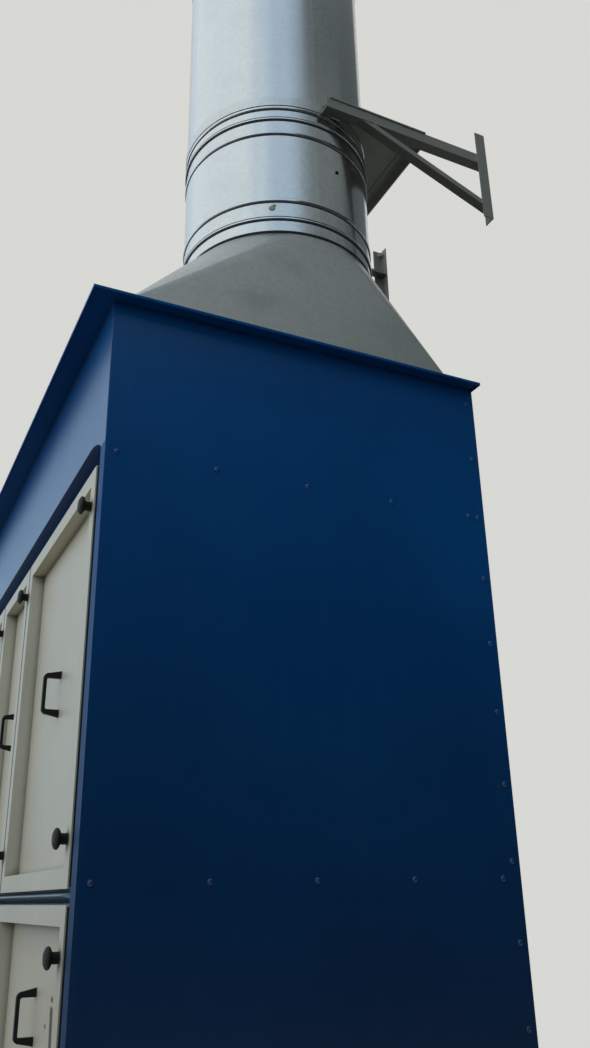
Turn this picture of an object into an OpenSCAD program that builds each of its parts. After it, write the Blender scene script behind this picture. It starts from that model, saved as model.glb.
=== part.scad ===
// Exhaust air filter cabinet with a square-to-round hood, a round stack and its wall brackets.
// The origin is on the ground under the middle of the cabinet. The doors face -Y and the wall is at +Y.

/* [Cabinet front] */
// Width of the two outer doors
wide_door_w = 975; // [700:5:1200]
// Width of the middle door
narrow_door_w = 540; // [400:10:800]
// Height of the upper doors
upper_door_h = 1150; // [800:10:1300]
// Height of the lower doors
lower_door_h = 575; // [420:5:800]
// Gap between neighbouring doors
door_gap = 15; // [6:1:20]
// Height of the gap between the two rows of doors
row_gap = 37; // [30:1:60]
// Sunk channel over the upper doors and under the lower doors
channel_w = 65; // [58:1:90]
// Sunk channel between a corner post and the outer doors
channel_side_w = 82; // [58:1:100]
// Width of the front face of a corner post
post_face_w = 48; // [40:1:120]
// Height of the fascia over the doors
fascia_h = 425; // [250:5:600]
// Height of the plain apron under the doors
apron_h = 800; // [200:10:1000]
// Inside radius of the lower corners of the front opening
opening_r = 55; // [20:1:56]
// Length of the drooping curve at each upper corner of the front opening
corner_run = 130; // [70:5:180]
// Drop of that curve
corner_drop = 42; // [20:1:50]

/* [Cabinet body] */
// Depth of the cabinet from front to back
cabinet_d = 1300; // [1280:10:1500]
// Thickness of the folded sheet
sheet_t = 3; // [2:0.5:4]
// Side of the square tubes in the rear corners
rear_tube = 60; // [50:5:80]
// Depth of the side of a front corner post
post_side_w = 90; // [70:5:110]
// Side of the square tubes behind the rows of rivets
rail_tube = 40; // [30:5:50]
// Wall of the square tubes
tube_wall = 3; // [2:0.5:5]
// Width of a front mullion
mullion_w = 80; // [70:5:90]
// Depth of a front mullion
mullion_d = 40; // [30:5:60]
// Distance from one row of rivets to the next
rivet_row_pitch = 1132; // [1000:1:1150]
// Height of the lowest row of rivets
rivet_row_z = 454; // [300:1:600]

/* [Base] */
// Height of the base channels
base_h = 100; // [80:5:200]
// Depth of a base channel
base_flange = 50; // [40:5:80]
// Wall of a base channel
base_wall = 5; // [4:0.5:8]
// Diameter of the anchor holes
anchor_d = 14; // [10:1:18]
// Distance of the anchor holes from the ends of the cabinet
anchor_end_gap = 90; // [70:5:150]
// Distance of the anchor holes from the outer face of a base channel
anchor_gauge = 30; // [22:1:36]

/* [Roof] */
// Overhang of the roof over the doors
roof_over_front = 75; // [30:1:120]
// Overhang of the roof at the ends
roof_over_end = 50; // [20:1:80]
// Depth of the folded edge of the roof
roof_lip = 10; // [8:1:40]

/* [Doors] */
// Depth of a door from front to back
door_d = 50; // [44:1:60]
// Width of the raised border of a door
door_border = 50; // [44:1:60]
// Depth of the sunk panel behind the border
door_sink = 45; // [30:1:47]
// How far the doors stand behind the frame
door_set_back = 10; // [6:1:20]
// How far the drip nose between the rows of doors stands out past them
nose_proud = 5; // [0:1:15]
// Length of the taper at each end of the drip nose
nose_taper = 40; // [20:1:80]
// Overlap of the doors and the frame that they seat on
seat_overlap = 45; // [30:1:48]
// Thickness of the door sheet
door_sheet = 2; // [1.5:0.5:3]

/* [Door fittings] */
// Height of a knob from a door end
knob_inset = 118; // [90:1:160]
// Distance of an outer knob from the door edge
knob_edge = 35; // [30:1:45]
// Diameter of the mushroom head of a knob
knob_d = 54; // [40:1:58]
// Diameter of the collar of a knob
collar_d = 28; // [22:1:32]
// Height of a knob over the door
knob_h = 37; // [32:1:50]
// Height of the mushroom head of a knob
knob_cap_h = 16; // [12:1:22]
// Centre distance of the feet of a handle
handle_pitch = 122; // [100:1:160]
// Height of a handle over the sunk panel
handle_h = 54; // [44:1:60]
// Thickness of the grip of a handle
grip_t = 10; // [8:1:14]
// Width of a handle
handle_w = 15; // [12:1:20]
// Outside radius of the bends of a handle
handle_bend = 16; // [12:1:20]
// Length of the foot of a handle
handle_foot = 23; // [18:1:28]
// How far the outer side of each handle arm leans in towards the grip
handle_lean = 8; // [0:1:10]

/* [Hood] */
// Distance of the square foot of the hood from the front and the back of the cabinet
hood_inset = 50; // [45:1:80]
// Distance of the foot of the hood from the end of the cabinet
hood_end_gap = 55; // [45:1:100]
// Height of the slanted part of the hood
hood_h = 651; // [500:1:900]
// Height of the flange under the hood
hood_flange_h = 50; // [40:1:60]
// Width of the foot of the flange
hood_flange_w = 40; // [30:1:50]
// Wall of the flange angle
hood_flange_t = 4; // [3:0.5:6]
// Distance of the middle of the stack from the back of the cabinet
stack_to_back = 452; // [451:1:500]

/* [Stack] */
// Outside radius of the stack
stack_r = 400; // [350:1:400]
// Thickness of the duct sheet
duct_t = 3; // [2:0.5:4]
// Height of the collar on the hood
collar_h = 75; // [60:1:100]
// Height of the short spool between the joints
spool_h = 508; // [420:1:700]
// Height of the lowest bead over the foot of the spool
spool_bead = 85; // [60:1:100]
// Length of one long duct section
section_h = 1250; // [1000:10:1500]
// Distance of a bead below a joint
bead_below = 79; // [60:1:100]
// Distance of a bead above a joint
bead_above = 55; // [46:1:100]
// How far a bead stands out
bead_out = 5; // [3:0.5:6]
// Height of a rolled bead
bead_h = 18; // [12:1:24]
// Height of the folded lip at a joint
lip_h = 8; // [5:1:12]

/* [Wall brackets] */
// Leg of the bracket steel angle
angle_leg = 50; // [40:1:60]
// Wall of the bracket steel angle
angle_t = 5; // [4:0.5:6]
// Height of the clamp band round the stack
clamp_h = 46; // [40:1:50]
// Thickness of the clamp band
clamp_t = 5; // [3:0.5:6]
// Length of the straight tails of the clamp band
clamp_tail = 110; // [70:5:200]
// Distance of the tips of the arms behind the middle of the stack
arm_tip = 24; // [0:1:60]
// Distance from the back of the cabinet to the wall
wall_gap = 380; // [300:5:500]
// Height of the wall posts
wall_post_h = 470; // [420:5:600]
// How far the wall posts stand over the arms
post_over_arm = 120; // [60:5:200]
// How far the brace foot stands below the top of the arm
brace_drop = 280; // [250:5:320]
// How far the brace reaches out under the arm
brace_reach = 600; // [500:10:640]
// Leg of the brace angle
brace_leg = 40; // [30:1:45]
// Thickness of the saddle plate
saddle_t = 6; // [4:1:10]
// Distance of the front of the saddle plate behind the middle of the stack
saddle_front = 40; // [20:5:100]
// How far the saddle plate reaches past the stack centre
saddle_reach = 510; // [450:5:560]
// Diameter of the wall anchor holes
wall_hole_d = 14; // [10:1:18]
// Height distance of the wall anchor holes
wall_hole_pitch = 310; // [300:1:340]
// Height of the upper wall anchor hole over the arm
wall_hole_over_arm = 90; // [60:5:100]
// Distance of the wall anchor holes from the upright leg of the angle
wall_hole_gauge = 30; // [24:1:36]

/* [Hidden] */

blue = [0.06, 0.20, 0.38];
cream = [0.80, 0.80, 0.74];
black = [0.05, 0.05, 0.05];
galvanised = [0.66, 0.70, 0.72];
steel_grey = [0.36, 0.37, 0.38];

// Places along the cabinet
seam_x = narrow_door_w / 2 + door_gap / 2;
row_half_w = narrow_door_w / 2 + door_gap + wide_door_w;
opening_half_w = row_half_w + channel_side_w;
half_w = opening_half_w + post_face_w;
skin_x = half_w - sheet_t;
wide_door_x = seam_x + door_gap / 2 + wide_door_w / 2;

// Places across the cabinet
front_y = -cabinet_d / 2;
rear_y = cabinet_d / 2;
hood_side = cabinet_d - 2 * hood_inset;
stack_x = half_w - hood_end_gap - hood_side / 2;
stack_y = rear_y - stack_to_back;
skin_y = rear_y - sheet_t;
door_y = front_y + door_set_back;
seat_y = door_y + door_d;

// Heights
floor_z = base_h + sheet_t;
opening_z0 = base_h + apron_h;
lower_door_z = opening_z0 + channel_w;
upper_door_z = lower_door_z + lower_door_h + row_gap;
doors_top_z = upper_door_z + upper_door_h;
opening_z1 = doors_top_z + channel_w;
wall_top_z = opening_z1 + fascia_h;
roof_z = wall_top_z + sheet_t;
hood_z = roof_z + hood_flange_h;
collar_z = hood_z + hood_h;
spool_z = collar_z + collar_h;
section_1_z = spool_z + spool_h;
section_2_z = section_1_z + section_h;
stack_top_z = section_2_z + section_h;

// The clear hole inside the seats that the doors close
seat_half_w = row_half_w - seat_overlap;
seat_z0 = lower_door_z + seat_overlap;
seat_z1 = doors_top_z - seat_overlap;
// The curve of the upper corners of the opening
corner_r = (corner_run * corner_run + corner_drop * corner_drop) / (2 * corner_drop);
// The outer posts carry the straight part of the opening, between its curved corners
post_z0 = opening_z0 + opening_r;
post_z1 = opening_z1 - corner_drop - sheet_t;

// Mid rail
rail_z0 = lower_door_z + lower_door_h;
rail_z1 = upper_door_z;
nose_out = door_d + nose_proud;

// Bracket places, from the stack centre
clamp_r = stack_r + clamp_t + 0.5;
clamp_z = section_1_z + bead_above + bead_h / 2;
arm_z = clamp_z + (angle_leg - clamp_h) / 2;
arm_top_z = arm_z + angle_leg;
wall_y = rear_y + wall_gap;
post_foot_z = arm_top_z + post_over_arm - wall_post_h;
round_fn = 96;
fit_fn = 32;

// Draws a shape of the XZ plane from depth y0 to y1
module along_y(y0, y1) {
    translate([0, y1, 0]) rotate([90, 0, 0]) linear_extrude(y1 - y0) children();
}

// Draws a shape of the YZ plane from x0 to x1
module along_x(x0, x1) {
    translate([x0, 0, 0]) rotate([90, 0, 90]) linear_extrude(x1 - x0) children();
}

// Puts a right-hand piece on the right (side 1) or on the left (side -1)
module on_side(side) {
    mirror([side < 0 ? 1 : 0, 0, 0]) children();
}

module rect(x0, y0, x1, y1) {
    translate([x0, y0]) square([x1 - x0, y1 - y0]);
}

module box(x0, y0, z0, x1, y1, z1) {
    translate([x0, y0, z0]) cube([x1 - x0, y1 - y0, z1 - z0]);
}

// A rectangle with rounded corners
module round_rect(x0, y0, x1, y1, r) {
    rect(x0 + r, y0, x1 - r, y1);
    rect(x0, y0 + r, x1, y1 - r);
    for (x = [x0 + r, x1 - r], y = [y0 + r, y1 - r]) translate([x, y]) circle(r, $fn = 48);
}

// A square tube standing up, with its lowest corner at x, y
module standing_tube(x, y, w, d, z0, z1) {
    difference() {
        box(x, y, z0, x + w, y + d, z1);
        box(x + tube_wall, y + tube_wall, z0 - 1, x + w - tube_wall, y + d - tube_wall, z1 + 1);
    }
}

// A channel lying along X with its back to -Y, from x0 to x1
module base_channel(x0, x1) {
    along_x(x0, x1) difference() {
        rect(0, 0, base_flange, base_h);
        rect(base_wall, base_wall, base_flange + 1, base_h - base_wall);
    }
}

module long_base_rail(side) {
    color(blue) difference() {
        mirror([0, side < 0 ? 1 : 0, 0]) translate([0, -rear_y, 0]) base_channel(-half_w, half_w);
        for (x = [anchor_end_gap - half_w, half_w - anchor_end_gap])
            translate([x, -side * (rear_y - anchor_gauge), -1])
                cylinder(d = anchor_d, h = base_wall + 2, $fn = fit_fn);
    }
}

module short_base_rail(side) {
    length = cabinet_d / 2 - base_flange;
    color(blue) on_side(side) translate([half_w, 0, 0]) rotate([0, 0, 90]) base_channel(-length, length);
}

module base_rail_front() long_base_rail(1);
module base_rail_rear() long_base_rail(-1);
module base_rail_right() short_base_rail(1);
module base_rail_left() short_base_rail(-1);

module floor_pan() {
    color(blue) box(-skin_x, front_y, base_h, skin_x, skin_y, floor_z);
}

// Folded corner post: front face, side, jamb of the opening and the seat of the outer doors
module front_post(side) {
    color(blue) on_side(side) translate([0, 0, post_z0]) linear_extrude(post_z1 - post_z0) {
        rect(opening_half_w, front_y, skin_x, front_y + sheet_t);
        rect(skin_x - sheet_t, front_y, skin_x, front_y + post_side_w);
        rect(opening_half_w, front_y, opening_half_w + sheet_t, seat_y + sheet_t);
        rect(seat_half_w, seat_y, opening_half_w + sheet_t, seat_y + sheet_t);
    }
}

module rear_post(side) {
    color(blue) on_side(side)
        standing_tube(skin_x - rear_tube, skin_y - rear_tube, rear_tube, rear_tube, floor_z, wall_top_z);
}

module corner_post_front_right() front_post(1);
module corner_post_front_left() front_post(-1);
module corner_post_rear_right() rear_post(1);
module corner_post_rear_left() rear_post(-1);

// Front mullion behind the joint of two doors
module mullion(side) {
    color(blue) on_side(side) {
        standing_tube(seam_x - mullion_w / 2, seat_y, mullion_w, mullion_d, seat_z0, rail_z0 - seat_overlap);
        standing_tube(seam_x - mullion_w / 2, seat_y, mullion_w, mullion_d, rail_z1 + seat_overlap, seat_z1);
    }
}

module mullion_right() mullion(1);
module mullion_left() mullion(-1);

module rear_mullions() {
    color(blue) for (side = [-1, 1]) on_side(side)
        standing_tube(seam_x - rear_tube / 2, skin_y - rail_tube, rear_tube, rail_tube, floor_z, wall_top_z);
}

// Square tubes from the front post to the rear post, behind the rows of rivets
module end_rails(side) {
    color(blue) on_side(side) for (row = [0:2]) {
        z = rivet_row_z + row * rivet_row_pitch;
        along_rails_y0 = front_y + post_side_w;
        difference() {
            box(skin_x - rail_tube, along_rails_y0, z - rail_tube / 2,
                skin_x, skin_y - rear_tube, z + rail_tube / 2);
            box(skin_x - rail_tube + tube_wall, along_rails_y0 - 1, z - rail_tube / 2 + tube_wall,
                skin_x - tube_wall, skin_y - rear_tube + 1, z + rail_tube / 2 - tube_wall);
        }
    }
}

module end_rails_right() end_rails(1);
module end_rails_left() end_rails(-1);

module end_panel(side) {
    color(blue) on_side(side) box(skin_x, front_y, base_h, half_w, rear_y, wall_top_z);
}

module end_panel_right() end_panel(1);
module end_panel_left() end_panel(-1);

module back_panel(x0, x1) {
    color(blue) box(x0, skin_y, base_h, x1, rear_y, wall_top_z);
}

module back_panel_right() back_panel(seam_x, skin_x);
module back_panel_middle() back_panel(-seam_x, seam_x);
module back_panel_left() back_panel(-skin_x, -seam_x);

// Roof sheet with a folded edge and a square hole under the hood
module roof_pan() {
    x1 = half_w + roof_over_end;
    y0 = front_y - roof_over_front;
    throat = hood_side / 2 - hood_flange_w;
    color(blue) difference() {
        box(-x1, y0, roof_z - roof_lip, x1, rear_y + sheet_t, roof_z);
        box(-x1 + sheet_t, y0 + sheet_t, roof_z - roof_lip - 1, x1 - sheet_t, rear_y, wall_top_z);
        box(stack_x - throat, -throat, wall_top_z - 1, stack_x + throat, throat, roof_z + 1);
    }
}

// The front opening, grown by out on all sides, with round lower corners
// and upper corners that droop in a long curve
module opening_outline(out) {
    half = opening_half_w + out;
    low = opening_z0 - out;
    end = asin((corner_run + out) / (corner_r + out));
    droop = [for (i = [0:8]) [
        opening_half_w - corner_run + (corner_r + out) * sin(end * i / 8),
        opening_z1 - corner_r + (corner_r + out) * cos(end * i / 8)
    ]];
    round_rect(-half, low, half, (opening_z0 + opening_z1) / 2, opening_r + out);
    polygon(concat(
        [[-half, low + opening_r + out], [half, low + opening_r + out]],
        [for (i = [8:-1:0]) droop[i]],
        [for (i = [0:8]) [-droop[i].x, droop[i].y]]
    ));
}

// The part of the folded front frame between heights z0 and z1: face, return and door seat
module front_frame(z0, z1) {
    intersection() {
        union() {
            along_y(front_y, front_y + sheet_t) difference() {
                rect(-skin_x, base_h, skin_x, wall_top_z);
                opening_outline(0);
            }
            along_y(front_y, seat_y + sheet_t) difference() {
                opening_outline(sheet_t);
                opening_outline(0);
            }
            along_y(seat_y, seat_y + sheet_t) difference() {
                opening_outline(sheet_t);
                rect(-seat_half_w, seat_z0, seat_half_w, seat_z1);
            }
        }
        box(-half_w, front_y - 1, z0, half_w, seat_y + mullion_d, z1);
    }
}

// The curved corners of the opening are in the fascia and in the apron
module header_fascia() {
    color(blue) {
        front_frame(post_z1, wall_top_z);
        box(-seat_half_w, seat_y, seat_z1, seat_half_w, seat_y + sheet_t, post_z1);
    }
}

module front_apron() {
    color(blue) {
        difference() {
            front_frame(base_h, post_z0);
            box(-half_w, front_y + sheet_t, base_h - 1, half_w, seat_y + mullion_d, floor_z);
        }
        box(-seat_half_w, seat_y, post_z0, seat_half_w, seat_y + sheet_t, seat_z0);
    }
}

// Rail between the rows of doors, with a drip nose that ends in a taper on each side
module mid_rail() {
    nose_z = rail_z1 - row_gap * 0.4;
    nose_x = row_half_w;
    color(blue) {
        difference() {
            box(-seat_half_w, seat_y, rail_z0 - seat_overlap,
                seat_half_w, seat_y + mullion_d, rail_z1 + seat_overlap);
            box(-seat_half_w - 1, seat_y + sheet_t, rail_z0 - seat_overlap + sheet_t,
                seat_half_w + 1, seat_y + mullion_d + 1, rail_z1 + seat_overlap - sheet_t);
        }
        intersection() {
            along_x(-nose_x, nose_x) polygon([
                [seat_y, rail_z0 + sheet_t], [seat_y - nose_out, nose_z - 1],
                [seat_y - nose_out, nose_z + 1], [seat_y, rail_z1 - sheet_t]
            ]);
            linear_extrude(wall_top_z) polygon([
                [-nose_x, seat_y], [-nose_x + nose_taper, seat_y - nose_out],
                [nose_x - nose_taper, seat_y - nose_out], [nose_x, seat_y]
            ]);
        }
    }
}

// Folded door pan with a raised border, open channels behind the border and a sunk panel
module door(x, z, w, h) {
    outer = [[x - w / 2, z], [x + w / 2, z + h]];
    module band(inset0, inset1) difference() {
        rect(outer[0].x + inset0, outer[0].y + inset0, outer[1].x - inset0, outer[1].y - inset0);
        rect(outer[0].x + inset1, outer[0].y + inset1, outer[1].x - inset1, outer[1].y - inset1);
    }
    color(cream) {
        along_y(door_y, door_y + door_sheet) band(0, door_border);
        along_y(door_y, seat_y) band(0, door_sheet);
        along_y(door_y, door_y + door_sink) band(door_border - door_sheet, door_border);
        along_y(door_y + door_sink, door_y + door_sink + door_sheet)
            rect(outer[0].x + door_border - door_sheet, outer[0].y + door_border - door_sheet,
                 outer[1].x - door_border + door_sheet, outer[1].y - door_border + door_sheet);
    }
}

module upper_door_right() door(wide_door_x, upper_door_z, wide_door_w, upper_door_h);
module upper_door_middle() door(0, upper_door_z, narrow_door_w, upper_door_h);
module upper_door_left() door(-wide_door_x, upper_door_z, wide_door_w, upper_door_h);
module lower_door_right() door(wide_door_x, lower_door_z, wide_door_w, lower_door_h);
module lower_door_middle() door(0, lower_door_z, narrow_door_w, lower_door_h);
module lower_door_left() door(-wide_door_x, lower_door_z, wide_door_w, lower_door_h);

// Side view of a bridge handle, from foot to foot
module handle_outline() {
    foot = handle_foot;
    top = handle_pitch / 2 + foot / 2;
    grip_end = top - handle_lean;
    bend = handle_bend;
    inner = bend - grip_t;
    difference() {
        union() {
            polygon([[0, -top], [handle_h - bend, -grip_end], [handle_h - bend, grip_end], [0, top]]);
            rect(0, -grip_end + bend, handle_h, grip_end - bend);
            for (side = [-1, 1])
                translate([handle_h - bend, side * (grip_end - bend)]) circle(bend, $fn = fit_fn);
        }
        rect(-1, -top + foot, handle_h - bend, top - foot);
        rect(-1, -top + foot + inner, handle_h - grip_t, top - foot - inner);
        for (side = [-1, 1])
            translate([handle_h - bend, side * (top - foot - inner)]) circle(inner, $fn = fit_fn);
    }
}

module handles(z) {
    color(black) for (x = [-wide_door_x, 0, wide_door_x])
        translate([x - handle_w / 2, door_y + door_sink, z]) mirror([0, 1, 0])
            along_x(0, handle_w) handle_outline();
}

module upper_door_handles() handles(upper_door_z + upper_door_h / 2);
module lower_door_handles() handles(lower_door_z + lower_door_h / 2);

// Mushroom knob on a fat collar, standing on the door face
module knob(x, z) {
    head_z = knob_h - knob_cap_h;
    dome = knob_d / 2;
    neck = collar_d / 2;
    translate([x, door_y, z]) rotate([90, 0, 0]) rotate_extrude($fn = fit_fn) polygon([
        [0, 0], [neck * 1.1, 0], [neck, knob_cap_h * 0.2], [neck, head_z - knob_cap_h * 0.2],
        [dome * 0.8, head_z], [dome * 0.96, head_z + knob_cap_h * 0.2], [dome, head_z + knob_cap_h * 0.45],
        [dome * 0.92, head_z + knob_cap_h * 0.7], [dome * 0.65, head_z + knob_cap_h * 0.93], [0, knob_h]
    ]);
}

// The outer knobs hold one door, and those at a mullion hold the edges of two
module knobs(z, h) {
    outer_x = row_half_w - knob_edge;
    color(black) for (x = [-outer_x, -seam_x, seam_x, outer_x], dz = [knob_inset, h - knob_inset])
        knob(x, z + dz);
}

module upper_door_knobs() knobs(upper_door_z, upper_door_h);
module lower_door_knobs() knobs(lower_door_z, lower_door_h);

// Steel angle frame that bolts the hood to the roof
module hood_flange() {
    outer = hood_side / 2;
    inner = outer - hood_flange_t;
    foot = outer + hood_flange_w;
    color(galvanised) translate([stack_x, 0, 0]) difference() {
        union() {
            box(-foot, -foot, roof_z, foot, foot, roof_z + hood_flange_t);
            box(-outer, -outer, roof_z, outer, outer, hood_z);
        }
        box(-inner, -inner, roof_z - 1, inner, inner, hood_z + 1);
    }
}

// Square-to-round loft: one flat triangle on each side and a fan of narrow ones on each corner
module square_to_round(half, r, z0, z1, over) {
    steps = 12;
    n = 4 * steps;
    square_at = function(z) [for (c = [[1, 1], [-1, 1], [-1, -1], [1, -1]]) [c.x * half, c.y * half, z]];
    circle_at = function(z) [for (i = [0:n - 1]) [r * cos(i * 360 / n), stack_y + r * sin(i * 360 / n), z]];
    points = concat(square_at(z0 - over), square_at(z0), circle_at(z1), circle_at(z1 + over));
    low = 4;
    mid = 8;
    high = 8 + n;
    faces = concat(
        [[0, 1, 2, 3]],
        [for (k = [0:3]) [k, low + k, low + (k + 1) % 4, (k + 1) % 4]],
        [for (k = [0:3], i = [0:steps - 1])
            [low + k, mid + k * steps + i, mid + (k * steps + i + 1) % n]],
        [for (k = [0:3]) [low + k, mid + ((k + 1) * steps) % n, low + (k + 1) % 4]],
        [for (i = [0:n - 1]) [mid + i, high + i, high + (i + 1) % n, mid + (i + 1) % n]],
        [[for (i = [n - 1:-1:0]) high + i]]
    );
    polyhedron(points, faces);
}

module hood() {
    color(galvanised) translate([stack_x, 0, 0]) difference() {
        square_to_round(hood_side / 2, stack_r, hood_z + 1, collar_z - 1, 1);
        square_to_round(hood_side / 2 - duct_t, stack_r - duct_t, hood_z + 1, collar_z - 1, 2);
    }
}

// A round duct length with folded lips at its ends, where asked, and rolled beads at the given heights
module duct(z0, z1, low_lip, high_lip, beads) {
    r = stack_r;
    lip = function(z, out) [
        [r, z], [r + bead_out, z + out * lip_h * 0.3], [r + bead_out, z + out * lip_h], [r, z + out * lip_h]
    ];
    bead_points = [
        for (z = beads, a = [-90:30:90]) [r + bead_out * cos(a), z + bead_h / 2 * sin(a)]
    ];
    low_points = low_lip ? lip(z0, 1) : [[r, z0]];
    high_points = high_lip ? [for (i = [3:-1:0]) lip(z1, -1)[i]] : [[r, z1]];
    color(galvanised) translate([stack_x, stack_y, 0]) rotate_extrude($fn = round_fn)
        polygon(concat([[r - duct_t, z0]], low_points, bead_points, high_points, [[r - duct_t, z1]]));
}

module hood_collar() duct(collar_z, spool_z, false, true, []);
module stack_spool()
    duct(spool_z, section_1_z, true, true, [spool_z + spool_bead, section_1_z - bead_below]);
module stack_lower_section()
    duct(section_1_z, section_2_z, true, true, [section_1_z + bead_above, section_2_z - bead_below]);
module stack_upper_section()
    duct(section_2_z, stack_top_z, true, true, [section_2_z + bead_above]);

// Flat band round the front of the stack, with straight tails along the bracket arms
module stack_clamp() {
    r0 = stack_r + 0.5;
    color(galvanised) translate([stack_x, stack_y, clamp_z]) linear_extrude(clamp_h) {
        difference() {
            circle(clamp_r, $fn = round_fn);
            circle(r0, $fn = round_fn);
            rect(-clamp_r - 1, 0, clamp_r + 1, clamp_r + 1);
        }
        for (side = [-1, 1]) rect(side < 0 ? -clamp_r : r0, 0, side < 0 ? -r0 : clamp_r, clamp_tail);
    }
}

// Welded bracket of steel angle: wall post, arm and brace, with their upright legs in one plane
module wall_bracket(side) {
    x0 = clamp_r;
    x1 = clamp_r + angle_leg;
    wall = wall_y - stack_y;
    post = wall - angle_leg;
    rise = brace_drop - angle_leg;
    slope = rise / brace_reach;
    weld = 10;
    // A strip of the brace that is t wide over its lower edge, from inside the arm to y = end
    module brace_strip(t, end) {
        lift = t * sqrt(1 + slope * slope);
        low_y = post - (rise + weld) / slope;
        polygon([
            [low_y, arm_z + weld], [end, arm_z - rise - (end - post) * slope],
            [end, arm_z - rise - (end - post) * slope + lift], [low_y + lift / slope, arm_z + weld]
        ]);
    }
    color(steel_grey) translate([stack_x, stack_y, 0]) on_side(side) difference() {
        union() {
            along_x(x0, x0 + angle_t) {
                rect(post, post_foot_z, wall, post_foot_z + wall_post_h);
                rect(arm_tip, arm_z, wall, arm_top_z);
                brace_strip(brace_leg, post + weld);
            }
            along_x(x0, x0 + brace_leg) brace_strip(angle_t, wall - angle_t + 1);
            along_x(x0, x1) {
                rect(wall - angle_t, post_foot_z, wall, post_foot_z + wall_post_h);
                rect(arm_tip, arm_top_z - angle_t, wall, arm_top_z);
            }
        }
        for (dz = [0, wall_hole_pitch])
            translate([x0 + wall_hole_gauge, wall + 1, arm_top_z + wall_hole_over_arm - wall_hole_pitch + dz])
                rotate([90, 0, 0]) cylinder(d = wall_hole_d, h = angle_t + 2, $fn = fit_fn);
    }
}

module wall_bracket_right() wall_bracket(1);
module wall_bracket_left() wall_bracket(-1);

// Flat plate on the two arms, cut out round the back of the stack
module saddle_plate() {
    reach = clamp_r + angle_leg;
    color(steel_grey) translate([stack_x, stack_y, arm_top_z]) linear_extrude(saddle_t) difference() {
        rect(-reach, saddle_front, reach, saddle_reach);
        circle(stack_r + 1, $fn = round_fn);
    }
}

// Steel angle under the rear edge of the saddle plate, from arm to arm
module saddle_angle() {
    color(steel_grey) translate([stack_x, stack_y, 0]) {
        box(-clamp_r, saddle_reach - angle_t, arm_z, clamp_r, saddle_reach, arm_top_z);
        box(-clamp_r, saddle_reach - angle_leg, arm_top_z - angle_t, clamp_r, saddle_reach, arm_top_z);
    }
}

base_rail_front();
base_rail_rear();
base_rail_right();
base_rail_left();
floor_pan();
corner_post_front_right();
corner_post_front_left();
corner_post_rear_right();
corner_post_rear_left();
mullion_right();
mullion_left();
rear_mullions();
end_rails_right();
end_rails_left();
end_panel_right();
end_panel_left();
back_panel_right();
back_panel_middle();
back_panel_left();
roof_pan();
header_fascia();
front_apron();
mid_rail();
upper_door_right();
upper_door_middle();
upper_door_left();
lower_door_right();
lower_door_middle();
lower_door_left();
upper_door_handles();
lower_door_handles();
upper_door_knobs();
lower_door_knobs();
hood_flange();
hood();
hood_collar();
stack_spool();
stack_lower_section();
stack_upper_section();
stack_clamp();
wall_bracket_right();
wall_bracket_left();
saddle_plate();
saddle_angle();
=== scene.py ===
"""Looks of an exhaust air filter cabinet with its roof hood, round stack and wall brackets.

The sheet metal keeps its CAD shape, apart from the hood, which gets smooth corners, and the wall brackets,
which are made again as rolled angle. This script adds the paint, zinc, plastic, seals, rivets, bolts, welds
and wear.
"""

import math

import bmesh
import bpy
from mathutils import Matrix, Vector


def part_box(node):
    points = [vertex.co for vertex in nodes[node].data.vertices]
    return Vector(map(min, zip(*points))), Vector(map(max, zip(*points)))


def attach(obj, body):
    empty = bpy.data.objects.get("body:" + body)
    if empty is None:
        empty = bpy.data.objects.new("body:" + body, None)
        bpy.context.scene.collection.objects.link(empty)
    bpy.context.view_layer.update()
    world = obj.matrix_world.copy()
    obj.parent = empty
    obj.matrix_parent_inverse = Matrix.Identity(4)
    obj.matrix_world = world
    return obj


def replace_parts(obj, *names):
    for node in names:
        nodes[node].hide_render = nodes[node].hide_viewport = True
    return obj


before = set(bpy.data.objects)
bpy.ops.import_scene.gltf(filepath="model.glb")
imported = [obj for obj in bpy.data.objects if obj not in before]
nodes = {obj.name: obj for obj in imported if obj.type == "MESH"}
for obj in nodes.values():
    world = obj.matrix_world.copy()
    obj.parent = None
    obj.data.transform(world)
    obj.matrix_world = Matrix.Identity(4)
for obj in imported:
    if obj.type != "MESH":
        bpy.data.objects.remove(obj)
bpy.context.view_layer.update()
scene = bpy.context.scene
scene.view_settings.view_transform = "Standard"


# The camera is a phone held at eye height beside the end with the stack, looking up along the wall.
camera_lens = bpy.data.cameras.new("eye_level_camera")
camera_lens.lens = 31.57
camera_lens.sensor_width = 36.0
camera = bpy.data.objects.new("eye_level_camera", camera_lens)
camera.location = (3.686, -1.191, 1.550)
camera.rotation_euler = [math.radians(turn) for turn in (112.05, 1.026, 64.229)]
scene.collection.objects.link(camera)
scene.camera = camera


# The studio is a plain pale floor under a wide soft light on the door side. The other side is a grey wall of
# shade, which the end of the cabinet and the right half of the stack mirror. Behind the object stands a pale
# backdrop, which the metal mirrors too, and the camera sees the backdrop's colour all round.
def linear(hex_colour):
    """Turns an sRGB hex colour such as #1f4e79 into the linear values that a shader takes."""
    channels = [int(hex_colour[i:i + 2], 16) / 255 for i in (1, 3, 5)]
    return [c / 12.92 if c <= 0.04045 else ((c + 0.055) / 1.055) ** 2.4 for c in channels] + [1.0]


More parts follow.
